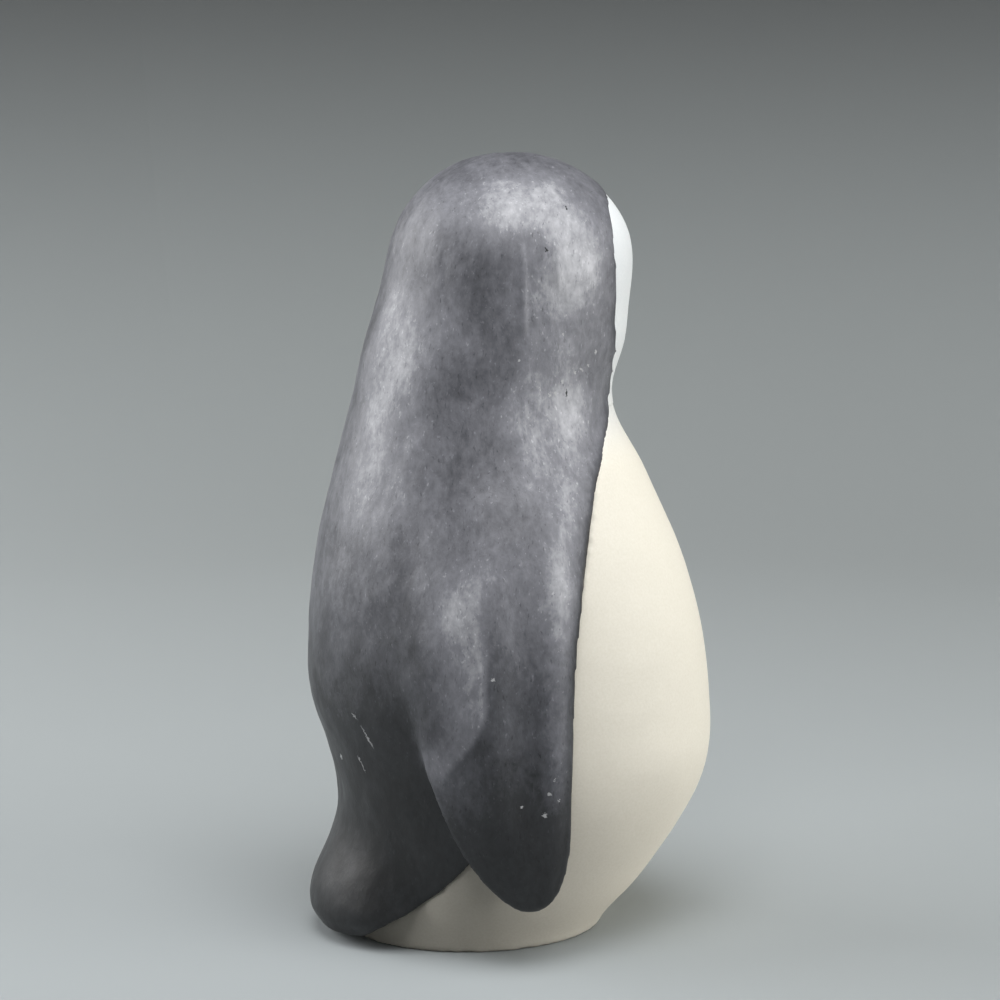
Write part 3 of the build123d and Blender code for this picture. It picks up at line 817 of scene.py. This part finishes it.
def fired_clay():
    """Unpainted fired clay on the plug: chalky, with fine grit."""
    material, tree, shader = new_material("bisque_fired_clay", IOR=1.45, Roughness=0.85)
    place = add(tree, "ShaderNodeTexCoord").outputs["Object"]
    grit = add(tree, "ShaderNodeTexNoise", {},
               {"Vector": place, "Scale": 1 / (0.6 * MM), "Detail": 4.0}).outputs["Fac"]
    tone = add(tree, "ShaderNodeMix", {"data_type": "RGBA"},
               {0: grit, MIX_A: linear("#cfcabd"), MIX_B: linear("#e6e2d8")}).outputs[MIX_OUT]
    tree.links.new(tone, shader.inputs["Base Color"])
    return material


def beech_dowel():
    """Turned beech on the pegs: pale, with short dark flecks along the grain."""
    material, tree, shader = new_material("turned_beech", IOR=1.5, Roughness=0.6)
    place = add(tree, "ShaderNodeTexCoord").outputs["Object"]
    drawn = add(tree, "ShaderNodeVectorMath", {"operation": "MULTIPLY"},
                {0: place, 1: (1 / (3 * MM), 1 / (0.4 * MM), 1 / (0.4 * MM))}).outputs[0]
    fleck = add(tree, "ShaderNodeTexNoise", {},
                {"Vector": drawn, "Scale": 1.0, "Detail": 3.0}).outputs["Fac"]
    tone = add(tree, "ShaderNodeMix", {"data_type": "RGBA"},
               {0: fleck, MIX_A: linear("#a8855c"), MIX_B: linear("#d6b88e")}).outputs[MIX_OUT]
    tree.links.new(tone, shader.inputs["Base Color"])
    return material


# Pieces

def shape_blades(mesh):
    """A shallow hollow in front of the crest on each flipper's rear third, and the tail's sides lifted."""
    points = points_of(mesh)
    x, y, z = points.T
    hollow = np.sin(np.pi * np.clip((CREST_BACK - y) / HOLLOW_WIDTH, 0, 1)) ** 2
    blade = smooth_step(np.abs(x), *BLADE_SIDE) * smooth_step(facing_out(mesh), *BLADE_FACING)
    points -= normals_of(mesh) * (HOLLOW_DEPTH * hollow * span_of(z, *HOLLOW_SPAN) * blade)[:, None]
    points[:, 2] += TAIL_LIFT * span_of(y, *TAIL_SPAN) * (1 - smooth_step(z, *TAIL_HEIGHTS))
    set_points(mesh, points)


def run_over_edge(mesh):
    """The coat's edges widened, as thick paint runs over them onto the pale casting."""
    move_out(mesh, EDGE_RUN * (1 - smooth_step(np.abs(facing_out(mesh)), *RUN_FACING)))


def blurred(values, length):
    """A row of values with a soft blur over a length, its ends held."""
    reach = int(3 * length)
    weights = np.exp(-(np.arange(-reach, reach + 1) / length) ** 2)
    return np.convolve(np.pad(values, reach, "edge"), weights / weights.sum(), "valid")


def even_edge(mesh, rim):
    """The coat's front edge evened out where the skin's grain and the flippers' tops left steps."""
    points = points_of(mesh)
    x, z = points[:, 0], points[:, 2]
    angle, radius = round_axis(points)
    row = np.floor(z).astype(int)
    for side, top, length in EVEN_SIDES:
        here = side * x > 0
        front = np.full(row.max() + 1, math.pi)
        np.minimum.at(front, row[here], np.abs(angle[here]))
        change = blurred(front, length) - blurred(front, ROW_BLUR)
        shift = np.interp(z, np.arange(len(front)) + 0.5, change)
        window = span_of(z, EVEN_FOOT, EVEN_FOOT + EVEN_FADE, top - EVEN_FADE, top)
        angle[here] += side * (shift * rim * window)[here]
    set_round_axis(mesh, points, angle, radius)


def bring_forward(mesh, rim):
    """The coat's right front edge moved round the axis towards face and belly, and lifted clear of them."""
    points = points_of(mesh)
    angle, radius = round_axis(points)
    front = rim * (angle < 0) * (1 - smooth_step(-angle, *np.radians(FRONT_REACH)))
    heights, forward, out = zip(*EDGE_SHIFTS)
    turned = angle + np.interp(points[:, 2], heights, forward) * front / radius
    outside = smooth_step(facing_out(mesh), *LIFT_FACING)
    raised = radius + np.interp(points[:, 2], heights, out) * front * outside
    set_round_axis(mesh, points, turned, raised)


def raise_ridges(mesh):
    """Upright ridges of thick paint on the head."""
    points = points_of(mesh)
    angle, radius = round_axis(points)
    lift = np.zeros(len(points))
    for turn, foot, top in RIDGES:
        across = (angle - math.radians(turn)) * radius / RIDGE_WIDTH
        upright = span_of(points[:, 2], foot, foot + RIDGE_FADE, top - RIDGE_FADE, top)
        lift += np.exp(-across ** 2) * upright
    move_out(mesh, RIDGE_HEIGHT * lift * smooth_step(facing_out(mesh), *BLADE_FACING))


def paint_tones(mesh, edge):
    """The coat's tone at each point, from black to grey, with painted shade and painted sheen by height,
    place, flipper and edge.
    """
    points = points_of(mesh)
    x, y, z = points.T
    angle, radius = round_axis(points)
    # Painted shade towards the bottom, and dust with painted top light towards the top
    tones = SHADED_FOOT_TONE + (DUSTY_AND_TOP_LIT_TONE - SHADED_FOOT_TONE) * smooth_step(z, SHADED_FOOT_TOP, TOP_LIT_FOOT)
    # Painted sheen and painted shade at the listed places
    for turn, height, half_width, half_height, change in PAINTED_SHEEN_AND_SHADE_PLACES:
        across = (np.abs(angle) - math.radians(turn)) * radius / half_width
        tones += change * np.exp(-across ** 2 - ((z - height) / half_height) ** 2)
    blade = smooth_step(np.abs(x), *BLADE_SIDE) * span_of(z, *BLADE_SPAN)
    past_crest = y - CREST_BACK - CREST_BEND * (1 - smooth_step(z, *BEND_HEIGHTS))
    soft = BAND_SOFT * smooth_step(z, *SOFT_HEIGHTS)
    band = span_of(past_crest, BAND_EDGE[0] - soft / 2, BAND_EDGE[1] + soft, *BAND_FADE)
    rear = smooth_step(y, *REAR_BACK) * (1 - smooth_step(z, *REAR_HEIGHTS))
    hollow = smooth_step(y, *HOLLOW_FRONT) * (1 - smooth_step(past_crest, *HOLLOW_END))
    # Painted highlight along the crest and on the tip's rear, and painted shade in the hollow
    tones += blade * CREST_PAINTED_HIGHLIGHT * band * smooth_step(z, *BAND_HEIGHTS)
    tones += blade * (REAR_PAINTED_HIGHLIGHT * rear + HOLLOW_PAINTED_SHADE * hollow)
    # Painted shade along the coat's edge
    return tones + edge * np.interp(z, *zip(*EDGE_PAINTED_SHADE))


def painted_coat():
    """The dark coat: back, flippers and tail under one skin of paint."""
    nodes = ("back_mantle", "left_flipper", "right_flipper", "tail")
    coat = even_skin("painted_coat", nodes, COAT_GRAIN, COAT_SWELL)
    mesh = coat.data
    smooth_grain(mesh, COAT_ROUNDS)
    move_out(mesh, -COAT_SWELL / MM)

    # Flippers and tail melt into the back, and the edge is smoothed, widened and evened out
    y, z = points_of(mesh)[:, 1:].T
    facing = facing_out(mesh)
    rump = smooth_step(y, *RUMP_BACK) * span_of(z, *RUMP_SPAN)
    melted = np.maximum(span_of(z, *SHOULDER_SPAN), RUMP_SHARE * rump)
    relax(mesh, MELT_STRENGTH * smooth_step(facing, *MELT_FACING) * melted, MELT_ROUNDS)
    rim = spread(mesh, np.abs(facing) < RIM_FACING, *RIM_MASK)
    relax(mesh, RIM_STRENGTH * rim, RIM_ROUNDS, RIM_PUSH)
    run_over_edge(mesh)
    relax(mesh, RIM_STRENGTH * rim, TOUCH_UP_ROUNDS, RIM_PUSH)
    even_edge(mesh, rim)
    bring_forward(mesh, rim)
    relax(mesh, RIM_STRENGTH * rim, TOUCH_UP_ROUNDS, RIM_PUSH)
    shape_blades(mesh)
    raise_ridges(mesh)
    thin_inside(coat)

    # The thinned skin gets its brush places, tones and relief
    mesh = coat.data
    facing = facing_out(mesh)
    edge = spread(mesh, facing < EDGE_FACING, *EDGE_MASK)
    calm = spread(mesh, facing < EDGE_FACING, *CALM_MASK)
    note(mesh, "stroke", "FLOAT_VECTOR", "vector", stroke_places(mesh))
    note(mesh, "open", "FLOAT", "value", smooth_step(facing, *OPEN_FACING) * (1 - calm))
    # The tone carries painted sheen and painted shade, with dust towards the top
    note(mesh, "tone", "FLOAT", "value", paint_tones(mesh, edge))
    paint = brushed_acrylic()
    run_tree(coat, relief_tree("brushed_relief", ("Patch", "Stroke")),
             {"Paint": paint, "Patch Width": 9.0, "Patch Length": 13.0, "Patch Depth": 0.9,
              "Stroke Width": 2.5, "Stroke Length": 4.0, "Stroke Depth": 0.16})
    finish_piece(coat, paint, "coat", *nodes)


def cream_body():
    """The pale casting. It runs on under the face, so that paint covers the joint at the throat."""
    body = even_skin("cream_body", ("body_shell", "face_mask"), CASTING_GRAIN, CASTING_SWELL)
    smooth_grain(body.data, GRAIN_ROUNDS)
    move_out(body.data, -CASTING_SWELL / MM)
    thin_inside(body)
    mesh = body.data
    note(mesh, "stroke", "FLOAT_VECTOR", "vector", stroke_places(mesh))
    below_face = 1 - smooth_step(points_of(mesh)[:, 2], *SWELL_TOP)
    note(mesh, "open", "FLOAT", "value", smooth_step(facing_out(mesh), *OPEN_FACING) * below_face)
    paint = pale_emulsion("cream_emulsion_on_clay", 0.55)
    run_tree(body, relief_tree("hand_smoothed_clay", ("Swell",)),
             {"Paint": paint, "Swell Width": 18.0, "Swell Length": 14.0, "Swell Depth": 0.5})
    finish_piece(body, paint, "casting", "body_shell")


def white_face():
    """The white face, let into the front of the head."""
    face = even_skin("white_face", ("face_mask",), FACE_GRAIN, FACE_SWELL)
    smooth_grain(face.data, GRAIN_ROUNDS)
    finish_piece(face, pale_emulsion("white_emulsion_on_clay", 0.5), "face", "face_mask")


def horn_beak():
    """The beak, with a mouth line drawn back from its tip."""
    beak = even_skin("horn_beak", ("beak",), BEAK_GRAIN)
    mesh = beak.data
    smooth_grain(mesh, GRAIN_ROUNDS)
    x, y, z = points_of(mesh).T
    ahead = x * math.sin(HEAD_TURN) - y * math.cos(HEAD_TURN)
    middle = np.polyval(np.polyfit(ahead, z, 2), ahead)
    move_out(mesh, -MOUTH_DEPTH * np.exp(-((z - middle) / MOUTH_WIDTH) ** 2))
    finish_piece(beak, horn_paint(), "beak", "beak")


photo_camera()
studio()
painted_coat()
cream_body()
white_face()
horn_beak()
dress(glossy_bead(), "left_eye", "right_eye")
dress(pressed_felt(), "base_felt")
dress(fired_clay(), "base_plug")
dress(beech_dowel(), "flipper_pegs", "tail_pegs")
